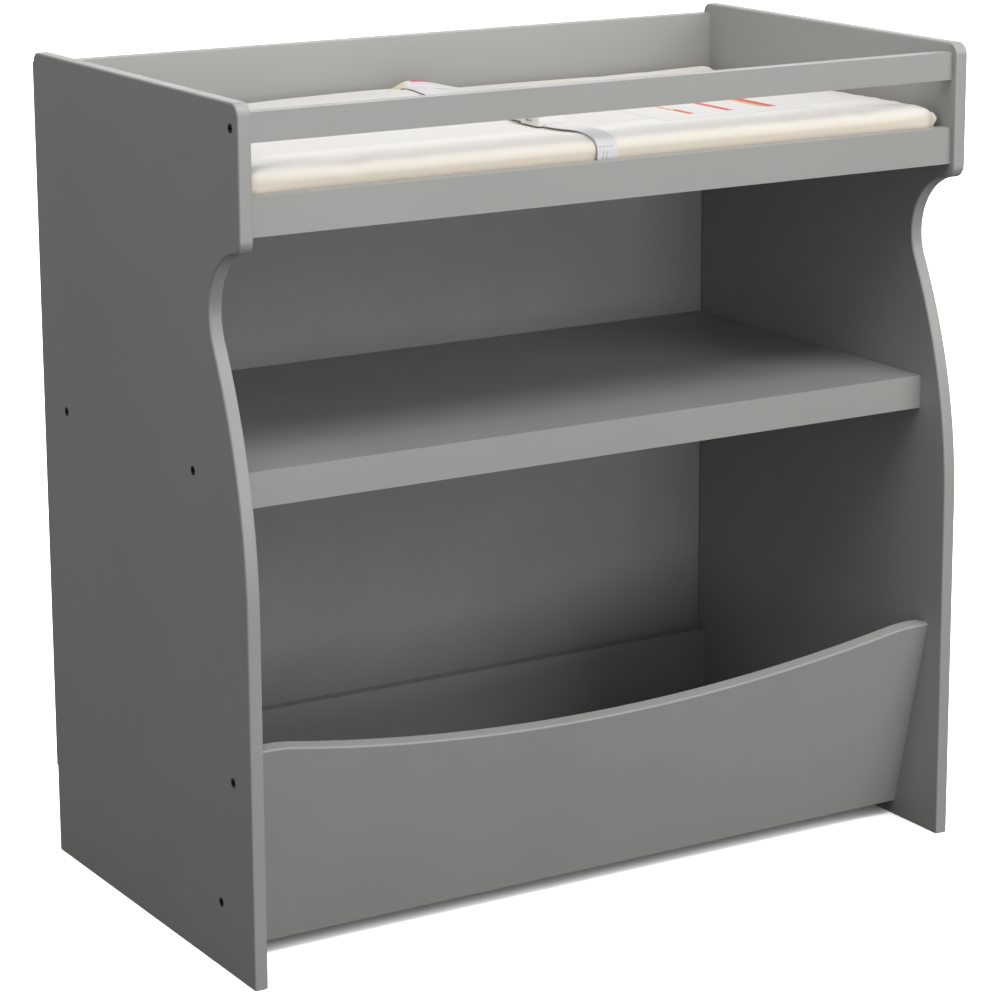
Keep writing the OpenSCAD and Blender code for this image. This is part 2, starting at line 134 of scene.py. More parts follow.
def baked(made):
    """Replaces an object's mesh by its mesh with modifiers applied."""
    graph = bpy.context.evaluated_depsgraph_get()
    mesh = bpy.data.meshes.new_from_object(made.evaluated_get(graph))
    made.modifiers.clear()
    made.data = mesh
    return made


def vertices(made):
    """An object's vertex places as an array."""
    flat = np.zeros(len(made.data.vertices) * 3)
    made.data.vertices.foreach_get("co", flat)
    return flat.reshape(-1, 3)


def place_vertices(made, points):
    """Moves an object's vertices to these places."""
    made.data.vertices.foreach_set("co", points.astype(np.float32).ravel())
    made.data.update()


def finish_piece(made, body, material, slot, *nodes):
    """Gives a piece its material and body and hides the nodes it stands for; slot is not used."""
    made.data.materials.clear()
    made.data.materials.append(material)
    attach(made, body)
    if nodes:
        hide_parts(*nodes)
    return made


def smoothstep(t):
    """0 below 0, 1 above 1 and a smooth S between them."""
    t = np.clip(t, 0, 1)
    return t * t * (3 - 2 * t)


def ramp(value, start, length):
    """0 up to start and 1 from start + length on, with a smooth S between; both are in millimetres."""
    return smoothstep((value / MM - start) / length)


# ---------------------------------------------------------------- materials


class Paint:
    """A material under construction: its node tree, its shader and the object coordinates.

    The methods add nodes and give back the output to use next. A value is a number, a colour or an output."""

    def __init__(self, name, color, roughness, **shader):
        self.material = bpy.data.materials.new(name)
        self.material.use_nodes = True
        self.tree = self.material.node_tree
        self.shader = self.tree.nodes["Principled BSDF"]
        self.shader.inputs["Base Color"].default_value = (*color, 1)
        self.shader.inputs["Roughness"].default_value = roughness
        for socket, value in shader.items():
            self.shader.inputs[socket.replace("_", " ").title()].default_value = value
        self.place = self.node("ShaderNodeTexCoord").outputs["Object"]
        self.surface = None

    def node(self, kind, **inputs):
        """A node with these inputs; an underscore in a name stands for a space."""
        made = self.tree.nodes.new(kind)
        for name, value in inputs.items():
            self.feed(made.inputs[name.replace("_", " ")], value)
        return made

    def feed(self, socket, value):
        """Links an output to a socket, or sets the socket to a plain value."""
        if isinstance(value, bpy.types.NodeSocket):
            self.tree.links.new(value, socket)
        else:
            socket.default_value = value

    def uv(self):
        """The place on the surface, in metres, from the mesh's map."""
        if self.surface is None:
            made = self.tree.nodes.new("ShaderNodeUVMap")
            made.uv_map = "surface"
            self.surface = made.outputs["UV"]
        return self.surface

    def noise(self, scale, detail=2.0, roughness=0.5, stretch=None, distortion=0.0):
        """Smooth noise, 0 to 1 about 0.5; stretch multiplies its frequency along each axis."""
        place = self.place
        if stretch:
            mapping = self.node("ShaderNodeMapping", Vector=place)
            mapping.inputs["Scale"].default_value = stretch
            place = mapping.outputs["Vector"]
        made = self.node("ShaderNodeTexNoise", Vector=place, Scale=scale, Detail=detail,
                         Roughness=roughness, Distortion=distortion)
        return made.outputs["Fac"]

    def math(self, operation, a, b=0.0):
        """The sum, product or other operation of one or two values."""
        made = self.tree.nodes.new("ShaderNodeMath")
        made.operation = operation
        for socket, value in zip(made.inputs, (a, b)):
            self.feed(socket, value)
        return made.outputs["Value"]

    def spread(self, value, low, high, to_low, to_high):
        """The value's range low to high, spread over to_low to to_high and held at both ends."""
        made = self.node("ShaderNodeMapRange", Value=value, From_Min=low, From_Max=high,
                         To_Min=to_low, To_Max=to_high)
        return made.outputs["Result"]

    def band(self, value, low, high, soft):
        """1 between low and high and 0 outside, with edges twice soft wide."""
        rise = self.spread(value, low - soft, low + soft, 0, 1)
        fall = self.spread(value, high - soft, high + soft, 1, 0)
        return self.math("MULTIPLY", rise, fall)

    def mix(self, share, first, second):
        """A colour between two, by the second one's share."""
        made = self.tree.nodes.new("ShaderNodeMix")
        made.data_type = "RGBA"
        self.feed(made.inputs[0], share)
        for socket, value in ((made.inputs[6], first), (made.inputs[7], second)):
            self.feed(socket, value if isinstance(value, bpy.types.NodeSocket) else (*value, 1))
        return made.outputs[2]

    def color(self, value):
        """Sets the shader's colour."""
        self.feed(self.shader.inputs["Base Color"], value)

    def roughness(self, value):
        """Sets the shader's roughness."""
        self.feed(self.shader.inputs["Roughness"], value)

    def bump(self, height, distance, strength=1.0, under=None):
        """Sets the shader's normal from a height, on top of the bump given as under."""
        made = self.node("ShaderNodeBump", Height=height, Distance=distance, Strength=strength)
        if under is not None:
            self.feed(made.inputs["Normal"], under)
        self.feed(self.shader.inputs["Normal"], made.outputs["Normal"])
        return made.outputs["Normal"]


def painted_board():
    """Satin grey paint on fibreboard: faint clouding, a fine orange peel and slightly uneven gloss."""
    p = Paint("painted_board", (0.36, 0.36, 0.345), 0.42)
    clouds = p.noise(5.0, detail=3.0)
    p.color(p.mix(p.spread(clouds, 0.3, 0.7, 0, 1), (0.352, 0.352, 0.337), (0.368, 0.368, 0.353)))
    p.roughness(p.spread(p.noise(22.0, detail=4.0), 0.25, 0.75, 0.36, 0.48))
    peel = p.bump(p.noise(620.0, detail=2.0), 0.00012, 0.35)
    p.bump(p.noise(2600.0, detail=1.0), 0.00004, 0.3, under=peel)
    return p.material


def painted_back():
    """Thin painted hardboard: blotchier than the boards, with the ghost of its fibres."""
    p = Paint("painted_back", (0.33, 0.33, 0.315), 0.55)
    blotch = p.noise(9.0, detail=5.0, roughness=0.6)
    fibre = p.noise(160.0, detail=4.0, stretch=(1.0, 1.0, 0.25))
    tone = p.math("ADD", p.math("MULTIPLY", blotch, 0.8), p.math("MULTIPLY", fibre, 0.2))
    p.color(p.mix(p.spread(tone, 0.3, 0.7, 0, 1), (0.312, 0.312, 0.298), (0.35, 0.35, 0.333)))
    p.roughness(p.spread(fibre, 0.3, 0.7, 0.5, 0.62))
    p.bump(fibre, 0.00015, 0.4)
    return p.material


def pad_vinyl():
    """Wipe-clean vinyl over foam, with a fine emboss, soft creases and faint warm clouds.

    Its top is white, whitest along the front edge, where painted light lifts the guard rail's shadow, and it
    turns to a warm cream down the sides."""
    # painted light: the band along the top's front edge is whiter than the rest of the top, to lift the guard
    # rail's shadow there
    painted_light_front, top_white = (0.93, 0.91, 0.875), (0.71, 0.693, 0.665)
    side_cream, cloud = (0.74, 0.67, 0.56), (0.76, 0.72, 0.64)
    low = PAD_LOW.z
    p = Paint("pad_vinyl", (0.86, 0.84, 0.79), 0.55, subsurface_weight=0.12, subsurface_scale=0.004)
    p.shader.inputs["Specular IOR Level"].default_value = 0.3
    place = p.node("ShaderNodeSeparateXYZ", Vector=p.place)
    # back is 0 over the front band, which takes the painted light, and 1 past it, where the plain top colour
    # shows
    back = p.spread(place.outputs["Y"], -186 * MM, -150 * MM, 0, 1)
    top = p.mix(back, painted_light_front, top_white)
    rise = p.spread(place.outputs["Z"], low + 31 * MM, low + 47 * MM, 0, 1)
    clouds = p.spread(p.noise(7.0, detail=4.0), 0.35, 0.7, 0, 1)
    p.color(p.mix(p.math("MULTIPLY", clouds, 0.15), p.mix(rise, side_cream, top), cloud))
    p.roughness(p.spread(p.noise(30.0, detail=3.0), 0.3, 0.7, 0.5, 0.64))
    creases = p.bump(p.noise(26.0, detail=3.0, stretch=(1.0, 0.35, 1.0), distortion=0.6), 0.0012, 0.35)
    p.bump(p.noise(1500.0, detail=2.0), 0.00006, 0.4, under=creases)
    return p.material


def strap_webbing():
    """Webbing: the product of a sine along the strap and one across it makes its yarns' ridges and its tone,
    with painted shade in the hollows between them.
    """
    color = (0.83, 0.81, 0.84)
    pitch = 1.3 * MM
    p = Paint("webbing", color, 0.75, sheen_weight=0.25)
    split = p.node("ShaderNodeSeparateXYZ", Vector=p.uv())
    turn = 2 * math.pi / pitch
    across = p.math("SINE", p.math("MULTIPLY", split.outputs["X"], turn))
    along = p.math("SINE", p.math("MULTIPLY", split.outputs["Y"], turn))
    weave = p.math("MULTIPLY", across, along)
    tone = p.noise(90.0, detail=3.0)
    darker = tuple(0.86 * c for c in color)
    # painted shade: the colour is darker where the weave is low, plus a random tone
    lift = p.math("ADD", p.spread(weave, -1, 1, 0.35, 1), p.spread(tone, 0.3, 0.7, -0.2, 0.2))
    p.color(p.mix(lift, darker, color))
    p.bump(weave, 0.00022, 0.8)
    return p.material


def moulded_plastic():
    """White moulded plastic with a faint spark texture."""
    p = Paint("buckle_plastic", (0.8, 0.8, 0.78), 0.38)
    p.color(p.mix(p.noise(40.0), (0.78, 0.78, 0.76), (0.83, 0.83, 0.81)))
    p.bump(p.noise(1800.0, detail=2.0), 0.00005, 0.4)
    return p.material


def mottled(name, color, roughness, metallic):
    """Plated steel, blackened steel or thread: mottled tone, uneven gloss and a finely uneven surface."""
    p = Paint(name, color, roughness, metallic=metallic)
    mottle = p.noise(160.0, detail=3.0)
    p.color(p.mix(mottle, tuple(0.8 * c for c in color), tuple(min(1.15 * c, 1) for c in color)))
    p.roughness(p.spread(mottle, 0.3, 0.7, roughness - 0.08, roughness + 0.1))
    p.bump(p.noise(900.0, detail=2.0), 0.00004, 0.5)
    return p.material


def beech_wood():
    """Bare beech, with its grain along the dowels."""
    p = Paint("beech", (0.6, 0.45, 0.28), 0.6)
    grain = p.noise(260.0, detail=4.0, stretch=(0.12, 1.0, 1.0))
    p.color(p.mix(p.spread(grain, 0.3, 0.7, 0, 1), (0.52, 0.37, 0.22), (0.66, 0.51, 0.33)))
    p.bump(grain, 0.0001, 0.5)
    return p.material


def open_foam():
    """Cut open-cell foam: small pits between thin walls, with painted shade in the pits."""
    p = Paint("foam", (0.85, 0.78, 0.58), 0.9)
    cells = p.node("ShaderNodeTexVoronoi", Vector=p.place, Scale=700.0).outputs["Distance"]
    # painted shade: the colour is darker towards each pit's centre
    p.color(p.mix(p.spread(cells, 0, 0.7, 0, 1), (0.7, 0.62, 0.42), (0.88, 0.81, 0.62)))
    p.bump(cells, 0.0006, 0.7)
    return p.material


def printed_film():
    """White film with three coral bars and fine pale rules between them, each a soft-edged rectangle."""
    p = Paint("printed_film", (0.8, 0.79, 0.77), 0.5)
    p.shader.inputs["Specular IOR Level"].default_value = 0.2
    split = p.node("ShaderNodeSeparateXYZ", Vector=p.uv())
    x, y = split.outputs["X"], split.outputs["Y"]
    soft = 0.4 * MM
    shown = (0.71, 0.696, 0.67)
    for start, width, front, rear, color in PATCH_BARS:
        across = p.band(x, start * MM, (start + width) * MM, soft)
        share = p.math("MULTIPLY", across, p.band(y, front * MM, rear * MM, soft))
        shown = p.mix(p.math("MULTIPLY", share, 0.95), shown, color)
    p.color(shown)
    p.bump(p.noise(1500.0, detail=2.0), 0.00005, 0.3)
    return p.material


CORAL = (0.6, 0.075, 0.02)
AMBER = (0.72, 0.32, 0.11)
PALE_TEAL = (0.58, 0.66, 0.65)
# Bars and rules on the film: left end, width, front and rear end, in mm from its front left corner; colour
PATCH_BARS = [
    (49, 8, 27, 64, CORAL), (47, 6, 60, 108, AMBER), (97, 9, 27, 108, CORAL),
    (144, 5, 31, 108, AMBER), (150, 12, 27, 108, CORAL),
    *((left, 1.2, 12, 108, PALE_TEAL) for left in (63, 71, 115, 124, 169)),
]

# ---------------------------------------------------------------- boards

BOARD_ROUND = 2.2 * MM
BUCKLE_ROUND = 0.8 * MM
WELD = 2e-6  # corners of CAD triangles that are closer than this are one


def softened(node, name, radius, keep_ends=True):
    """A merged copy of a CAD piece whose outer edges are rounded over.

    Flat triangles are joined into whole faces first. The largest set of sharp edges that hang together is
    the outline; the mouths of bores stay crisp. keep_ends leaves the edges at the board's two ends square,
    where it butts against the side panels."""
    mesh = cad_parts[node].data.copy()
    mesh.name = name
    bm = bmesh.new()
    bm.from_mesh(mesh)
    weight = bm.edges.layers.float.new("bevel_weight_edge")
    bmesh.ops.remove_doubles(bm, verts=bm.verts, dist=WELD)
    bmesh.ops.dissolve_limit(bm, angle_limit=math.radians(0.3), verts=bm.verts, edges=bm.edges)
    sharp = [e for e in bm.edges if len(e.link_faces) == 2 and e.calc_face_angle(0) > math.radians(30)]
    group = {}

    def root(v):
        """The vertex that stands for all those hanging together with v."""
        while group.setdefault(v, v) != v:
            v = group[v]
        return v

    for e in sharp:
        group[root(e.verts[0])] = root(e.verts[1])
    families = {}
    for e in sharp:
        families.setdefault(root(e.verts[0]), []).append(e)

    def extent(edges):
        """The diagonal of the edges' box."""
        places = np.array([v.co[:] for e in edges for v in e.verts])
        return float(np.linalg.norm(places.max(0) - places.min(0)))

    outline = set(max(families.values(), key=extent))
    end = max(abs(v.co.x) for v in bm.verts) - 1e-5
    for e in sharp:
        at_end = all(abs(v.co.x) > end for v in e.verts)
        if e in outline and not (keep_ends and at_end):
            e[weight] = 1.0
        else:
            e.smooth = False
    for f in bm.faces:
        f.smooth = True
    bm.to_mesh(mesh)
    bm.free()
    made = linked(name, mesh)
    add(made, "BEVEL", width=radius, segments=3, limit_method="WEIGHT", harden_normals=True,
        use_clamp_overlap=False, miter_outer="MITER_ARC")
    add(made, "WEIGHTED_NORMAL", keep_sharp=True, weight=80)
    return made


def chained(edges):
    """Edges put end to end: a list of closed loops of vertices."""
    beside = {}
    for e in edges:
        for v in e.verts:
            beside.setdefault(v, []).append(e.other_vert(v))
    loops, seen = [], set()
    for first in beside:
        if first in seen:
            continue
        loop, now, before = [], first, None
        while now not in seen:
            seen.add(now)
            loop.append(now)
            onward = [v for v in beside[now] if v is not before]
            now, before = onward[0], now
        loops.append(loop)
    return loops


def inset(loop, distance):
    """A closed outline in (y, z), moved inwards: each corner goes along the mitre of its two sides."""
    side = np.roll(loop, -1, 0) - loop
    side /= np.linalg.norm(side, axis=1, keepdims=True)
    area = np.sum(loop[:, 0] * np.roll(loop[:, 1], -1) - np.roll(loop[:, 0], -1) * loop[:, 1])
    normal = np.sign(area) * np.stack([-side[:, 1], side[:, 0]], 1)
    mitre = normal + np.roll(normal, 1, 0)
    mitre /= np.sum(mitre * normal, axis=1, keepdims=True)
    return loop + mitre * distance


def faces_in_plane(bm, axis, level, out):
    """The faces that lie in a plane across an axis at this level and look along out, 1 or -1."""
    return [f for f in bm.faces if f.normal[axis] * out > 0.999
            and all(abs(v.co[axis] - level) < WELD / 2 for v in f.verts)]


def border(faces):
    """The edges that belong to only one of these faces."""
    inside = set(faces)
    return [e for f in faces for e in f.edges if sum(g in inside for g in e.link_faces) == 1]


def fill_flat(bm, outlines, axes):
    """Fills the plane area between closed outlines of vertices with triangles; axes are the plane's two."""
    corners = [v for outline in outlines for v in outline]
    flat = [[Vector((v.co[axes[0]], v.co[axes[1]], 0)) for v in outline] for outline in outlines]
    for triangle in tessellate_polygon(flat):
        bm.faces.new([corners[k] for k in triangle])


def rounded_side(node, name, radius, segments=4):
    """A side panel with its outline rounded over on both faces.

    The outline and the mouths of its bores are read off the CAD piece's two flat faces. Each flat face is
    filled again inside an outline drawn in by the radius, and quarter-round rings join it to the rim. The
    rear edge is filled again round its nail bores. The bores' own walls are kept."""
    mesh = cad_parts[node].data.copy()
    mesh.name = name
    bm = bmesh.new()
    bm.from_mesh(mesh)
    bmesh.ops.remove_doubles(bm, verts=bm.verts, dist=WELD)
    near, far = (min(v.co.x for v in bm.verts), max(v.co.x for v in bm.verts))
    dropped, rims = set(), []
    for x, out in ((near, -1), (far, 1)):
        flat = faces_in_plane(bm, 0, x, out)
        loops = chained(border(flat))
        sizes = [np.ptp([v.co.z for v in loop]) for loop in loops]
        rims.append((x, out, loops.pop(int(np.argmax(sizes))), loops))
        dropped.update(flat)
    on_rim = {v for rim in rims for v in rim[2]}
    dropped.update(f for f in bm.faces if all(v in on_rim for v in f.verts))
    rear = max(v.co.y for v in bm.verts)
    behind = faces_in_plane(bm, 1, rear, 1)
    nail_mouths = chained([e for e in border(behind) if not all(v in on_rim for v in e.verts)])
    dropped.update(behind)
    rims = [(x, out, np.array([[v.co.y, v.co.z] for v in loop]), holes) for x, out, loop, holes in rims]
    bmesh.ops.delete(bm, geom=list(dropped), context="FACES")
    rings = []
    for x, out, loop, holes in rims:
        levels = []
        for turn in np.linspace(0, math.pi / 2, segments + 1):
            shape = inset(loop, radius * (1 - math.cos(turn)))
            depth = x - out * radius * (1 - math.sin(turn))
            levels.append([bm.verts.new((depth, y, z)) for y, z in shape])
        for low, high in zip(levels, levels[1:]):
            for k in range(len(low)):
                bm.faces.new((low[k], low[k - 1], high[k - 1], high[k]))
        fill_flat(bm, [levels[-1]] + holes, (1, 2))
        rings.append((loop, levels[0]))
    (loop_a, ring_a), (loop_b, ring_b) = rings
    match = [int(np.argmin(np.linalg.norm(loop_b - p, axis=1))) for p in loop_a]
    for k in range(len(ring_a)):
        quad = list(dict.fromkeys((ring_a[k - 1], ring_a[k], ring_b[match[k]], ring_b[match[k - 1]])))
        if all(abs(v.co.y - rear) < WELD / 2 for v in quad):
            fill_flat(bm, [quad] + nail_mouths, (0, 2))
        elif len(quad) > 2:
            bm.faces.new(quad)
    bmesh.ops.delete(bm, geom=[v for v in bm.verts if not v.link_faces], context="VERTS")
    bmesh.ops.recalc_face_normals(bm, faces=bm.faces)
    for f in bm.faces:
        f.smooth = True
    for e in bm.edges:
        if len(e.link_faces) == 2 and e.calc_face_angle(0) > math.radians(40):
            e.smooth = False
    bm.to_mesh(mesh)
    bm.free()
    made = linked(name, mesh)
    add(made, "WEIGHTED_NORMAL", keep_sharp=True, weight=80)
    return made


# ---------------------------------------------------------------- the pad

PAD_LOW, PAD_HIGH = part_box("pad_cover")
STRAP_LOW, STRAP_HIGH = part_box("front_strap")
STRAP_X = (STRAP_LOW.x + STRAP_HIGH.x) / 2
STRAP_W = STRAP_HIGH.x - STRAP_LOW.x
SOCKET_LOW, SOCKET_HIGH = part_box("buckle_socket")
PAD_TOP = PAD_HIGH.z
PAD_CROWN = 6.0 * MM  # how far the top rises away from its edges
PAD_START = 3.5 * MM  # how much smaller the sewn shape is than the filled one
PAD_CORNER = 10.0 * MM
PAD_VOXEL = 6.0 * MM
PAD_CAP = 9.0 * MM  # the furthest that a point may move while the pad is filled
PAD_RIM = 24.0 * MM  # depth over which the long top edges are made squarer
REAR_RISE = 9.0 * MM  # how far the rear edge swells up, left of its middle
REAR_FALL = 5.5 * MM  # how far it sinks again towards its right end
STRAP_DIP = 2.6 * MM  # depth of the crease beside the strap
CREASE_HEIGHT = 1.3 * MM
CREASE_REACH = 28.0 * MM  # how far in from an end its creases are still a third as high


def pad_blank():
    """The cut shape before it is filled: a block with round upright corners and softened rims."""
    low = np.array(PAD_LOW) + PAD_START
    high = np.array(PAD_HIGH) - PAD_START
    corners = np.array([[x, y, z] for x in (low[0], high[0]) for y in (low[1], high[1])
                        for z in (low[2] - PAD_START, high[2])])
    faces = [(0, 1, 3, 2), (4, 6, 7, 5), (0, 4, 5, 1), (2, 3, 7, 6), (0, 2, 6, 4), (1, 5, 7, 3)]
    made = mesh_object("pad_blank", corners, faces)
    add(made, "BEVEL", width=PAD_CORNER, segments=4, limit_method="NONE")
    add(made, "REMESH", mode="VOXEL", voxel_size=PAD_VOXEL, use_smooth_shade=True)
    return baked(made)


def fill_with_cloth(made, frames=20, pressure=4.0):
    """Swells the blank as cloth under pressure, with no gravity, and keeps the shape of the last frame."""
    scene = bpy.context.scene
    cloth = add(made, "CLOTH")
    cloth.settings.quality = 5
    cloth.settings.mass = 0.35
    cloth.settings.tension_stiffness = 25
    cloth.settings.compression_stiffness = 25
    cloth.settings.shear_stiffness = 10
    cloth.settings.bending_stiffness = 1.5
    cloth.settings.use_pressure = True
    cloth.settings.uniform_pressure_force = pressure
    cloth.settings.effector_weights.gravity = 0
    cloth.point_cache.frame_start, cloth.point_cache.frame_end = 1, frames
    for now in range(1, frames + 1):
        scene.frame_set(now)
    baked(made)
    scene.frame_set(1)


def settle_pad(points, start):
    """Limits the swelling, fits the pad to its place, flattens its underside and shapes its top.

    The roof is the height that the top is squeezed down to. It is a low crown that fades towards the edges
    and dips under the strap, which presses least at the front edge. Over the rear quarter it follows the
    swell instead, which rises from the left end, falls past the strap and sinks towards the right end."""
    move = points - start
    far = np.linalg.norm(move, axis=1, keepdims=True)
    points = start + move * np.minimum(1, PAD_CAP / np.maximum(far, 1e-9))
    low, high = np.array(PAD_LOW)[:2], np.array(PAD_HIGH)[:2]
    plan = points[:, :2]
    middle = (plan.min(0) + plan.max(0)) / 2
    points[:, :2] = (low + high) / 2 + (plan - middle) * (high - low) / np.ptp(plan, axis=0)
    x, y, z = points.T
    edge = np.minimum(y - PAD_LOW.y, PAD_HIGH.y - y)
    end = np.minimum(x - PAD_LOW.x, PAD_HIGH.x - x)
    pressed = 0.35 + 0.65 * ramp(y, -198, 85)
    beside = 1 - pressed * (1 - ramp(np.abs(x - STRAP_X) - STRAP_W / 2, 0, 70))
    crown = PAD_CROWN * ramp(edge, 0, 40) * ramp(end, 0, 80)
    rear = ramp(y, 70, 110)
    swell = REAR_RISE * ramp(x - PAD_LOW.x, 0, 360) * (1 - 0.72 * ramp(x, -30, 90))
    swell = swell - REAR_FALL * ramp(x, 40, 260)
    roof = PAD_TOP - 0.6 * MM + (1.6 * MM + crown) * beside * (1 - rear) + swell * ramp(edge, 0, 35) * rear
    lifted = z + np.maximum(swell - 3 * MM, 0) * rear * ramp(z - PAD_LOW.z, 0, 30)
    squeezed = np.where(lifted > roof, roof + (lifted - roof) * 0.15, lifted)
    return square_rims(np.stack([x, y, np.maximum(squeezed, PAD_LOW.z)], 1))


def square_rims(points):
    """Makes the long top edges crisper and presses a shallow crease beside the strap.

    Within PAD_RIM of an edge, a section point (u, v) on a circle goes out to the curve u^4 + v^4 = 1. The
    crease is a bell along x, STRAP_DIP deep, that runs over the top and down the front by the strap."""
    x, y, z = points.T
    side = np.where(y < 0, -1.0, 1.0)
    rim = np.where(y < 0, PAD_LOW.y, PAD_HIGH.y)
    u = np.clip((PAD_RIM - np.abs(y - rim)) / PAD_RIM, 0, 1)
    v = np.clip((z - (PAD_TOP + 1 * MM - PAD_RIM)) / PAD_RIM, 0, 1)
    reach = np.hypot(u, v)
    power = (u ** 4 + v ** 4) ** 0.25
    out = np.where((u > 0) & (v > 0), np.clip(reach / np.maximum(power, 1e-6), 1, 1.19), 1)
    y = np.where(u > 0, rim - side * PAD_RIM * (1 - np.minimum(u * out, 1)), y)
    z = z + np.where(v > 0, PAD_RIM * v * (out - 1), 0)
    bell = STRAP_DIP * np.exp(-((x - STRAP_LOW.x + 4 * MM) / (9 * MM)) ** 2)
    z = z - bell * ramp(z - PAD_TOP, -20, 16)
    y = y + bell * ramp(PAD_LOW.y - y, -22, 16)
    return np.stack([x, y, z], 1)


def crease_ends(points):
    """Fine pull creases at the pad's two ends: the product of two uneven sines along y, fading inwards."""
    x, y, z = points.T
    end = np.minimum(x - PAD_LOW.x, PAD_HIGH.x - x)
    near = np.exp(-np.maximum(end, 0) / CREASE_REACH)
    wave = np.sin(y * 210 + 3.1 * np.sin(y * 37) + end * 60) * np.sin(y * 93 + 1.3)
    return np.stack([x, y, z + CREASE_HEIGHT * wave * near * ramp(z - PAD_LOW.z, 0, 20)], 1)


def make_pad():
    """The filled pad: a cloth simulation on the blank, then its final shape and one level of subdivision."""
    made = pad_blank()
    start = vertices(made)
    fill_with_cloth(made)
    shaped = vertices(made)
    place_vertices(made, crease_ends(settle_pad(shaped, start)))
    made.name = "changing_pad_cover"
    add(made, "SUBSURF", levels=1, render_levels=1)
    baked(made)
    made.data.polygons.foreach_set("use_smooth", np.ones(len(made.data.polygons), bool))
    return made


def make_foam():
    """The foam slab inside the cover: a superellipsoid, of power 22 in plan and power 10 in section."""
    gap = 4.5 * MM
    rows, columns = 33, 128
    plan, section = 0.09, 0.2  # twice the inverse of each power
    low = np.array(PAD_LOW) + gap
    high = np.array(PAD_HIGH) - gap
    half, centre = (high - low) / 2, (high + low) / 2
    u = np.linspace(0, 2 * math.pi, columns, endpoint=False)[None, :]
    v = np.linspace(-math.pi / 2, math.pi / 2, rows)[:, None]

    def power(value, exponent):
        """The power of the value's size, with its sign."""
        return np.sign(value) * np.abs(value) ** exponent

    x = half[0] * power(np.cos(v), section) * power(np.cos(u), plan)
    y = half[1] * power(np.cos(v), section) * power(np.sin(u), plan)
    z = half[2] * power(np.sin(v), section) * np.ones_like(u)
    points = np.stack([x, y, z], -1).reshape(-1, 3) + centre
    return outward(mesh_object("foam_slab", points, tube_faces(rows, columns)))


# ---------------------------------------------------------------- straps, stitches, tag and film

STRAP_THICK = 1.5 * MM
STRAP_LIFT = 0.2 * MM
SEAM_Z = 809.0 * MM  # height of the row of stitches across the strap
SEAM_FROM_LEFT = (6.6 * MM, 11.0 * MM)  # the upright rows' distances from the strap's left edge


def section_path(tree, x, y_stop, side):
    """Points up the pad's front (side -1) or rear (side 1) at x, round its rim and along its top to y_stop.

    They are where rays meet the pad: level rays on its face, rays towards a point inside round its rim, and
    plumb rays on its top. The line is then evened out and spaced at equal steps."""
    rim_y = PAD_LOW.y if side < 0 else PAD_HIGH.y
    heart = Vector((x, rim_y - side * 20 * MM, PAD_TOP - 20 * MM))
    found = []
    for z in np.linspace(STRAP_LOW.z, heart.z, 14):
        found.append(tree.ray_cast(Vector((x, rim_y + side * 0.1, z)), Vector((0, -side, 0)))[0])
    for turn in np.linspace(0, math.pi / 2, 16)[1:-1]:
        ray = Vector((0, side * math.cos(turn), math.sin(turn)))
        found.append(tree.ray_cast(heart + ray * 0.08, -ray)[0])
    for y in np.arange(heart.y, y_stop, -side * 5 * MM):
        found.append(tree.ray_cast(Vector((x, y, PAD_TOP + 0.1)), Vector((0, 0, -1)))[0])
    line = np.array([p[:] for p in found])
    for _ in range(6):
        line[1:-1] = (line[:-2] + 2 * line[1:-1] + line[2:]) / 4
    return even_steps(line, 2.5 * MM)


def even_steps(line, step):
    """The same line with its points spaced evenly."""
    lengths = np.concatenate([[0], np.cumsum(np.linalg.norm(np.diff(line, axis=0), axis=1))])
    count = max(int(lengths[-1] / step), 4)
    at = np.linspace(0, lengths[-1], count)
    return np.stack([np.interp(at, lengths, line[:, k]) for k in range(3)], 1)


def ribbon(name, line):
    """The strap's webbing: a superellipse, STRAP_W by STRAP_THICK, carried along a line just above it.

    It comes with the middle line of its outer face and the directions that point out of that face."""
    run = np.gradient(line, axis=0)
    run /= np.linalg.norm(run, axis=1, keepdims=True)
    across = np.broadcast_to(np.array([1.0, 0, 0]), line.shape)
    out = np.cross(run, across)
    out /= np.linalg.norm(out, axis=1, keepdims=True)
    if out[len(out) // 2] @ (line[len(line) // 2] - line.mean(0) + np.array([0, 0, 1e-3])) < 0:
        out = -out
    t = np.linspace(0, 2 * math.pi, 28, endpoint=False)
    side = np.sign(np.cos(t)) * np.abs(np.cos(t)) ** 0.22 * STRAP_W / 2
    high = (np.sign(np.sin(t)) * np.abs(np.sin(t)) ** 0.6 + 1) * STRAP_THICK / 2 + STRAP_LIFT
    along = np.concatenate([[0], np.cumsum(np.linalg.norm(np.diff(line, axis=0), axis=1))])
    points = (line[:, None, :] + across[:, None, :] * side[None, :, None]
              + out[:, None, :] * high[None, :, None])
    uv = np.stack(np.broadcast_arrays(side[None, :], along[:, None]), -1).reshape(-1, 2)
    made = mesh_object(name, points.reshape(-1, 3), tube_faces(*points.shape[:2]), uv)
    return outward(made), line + out * (STRAP_THICK + STRAP_LIFT), out


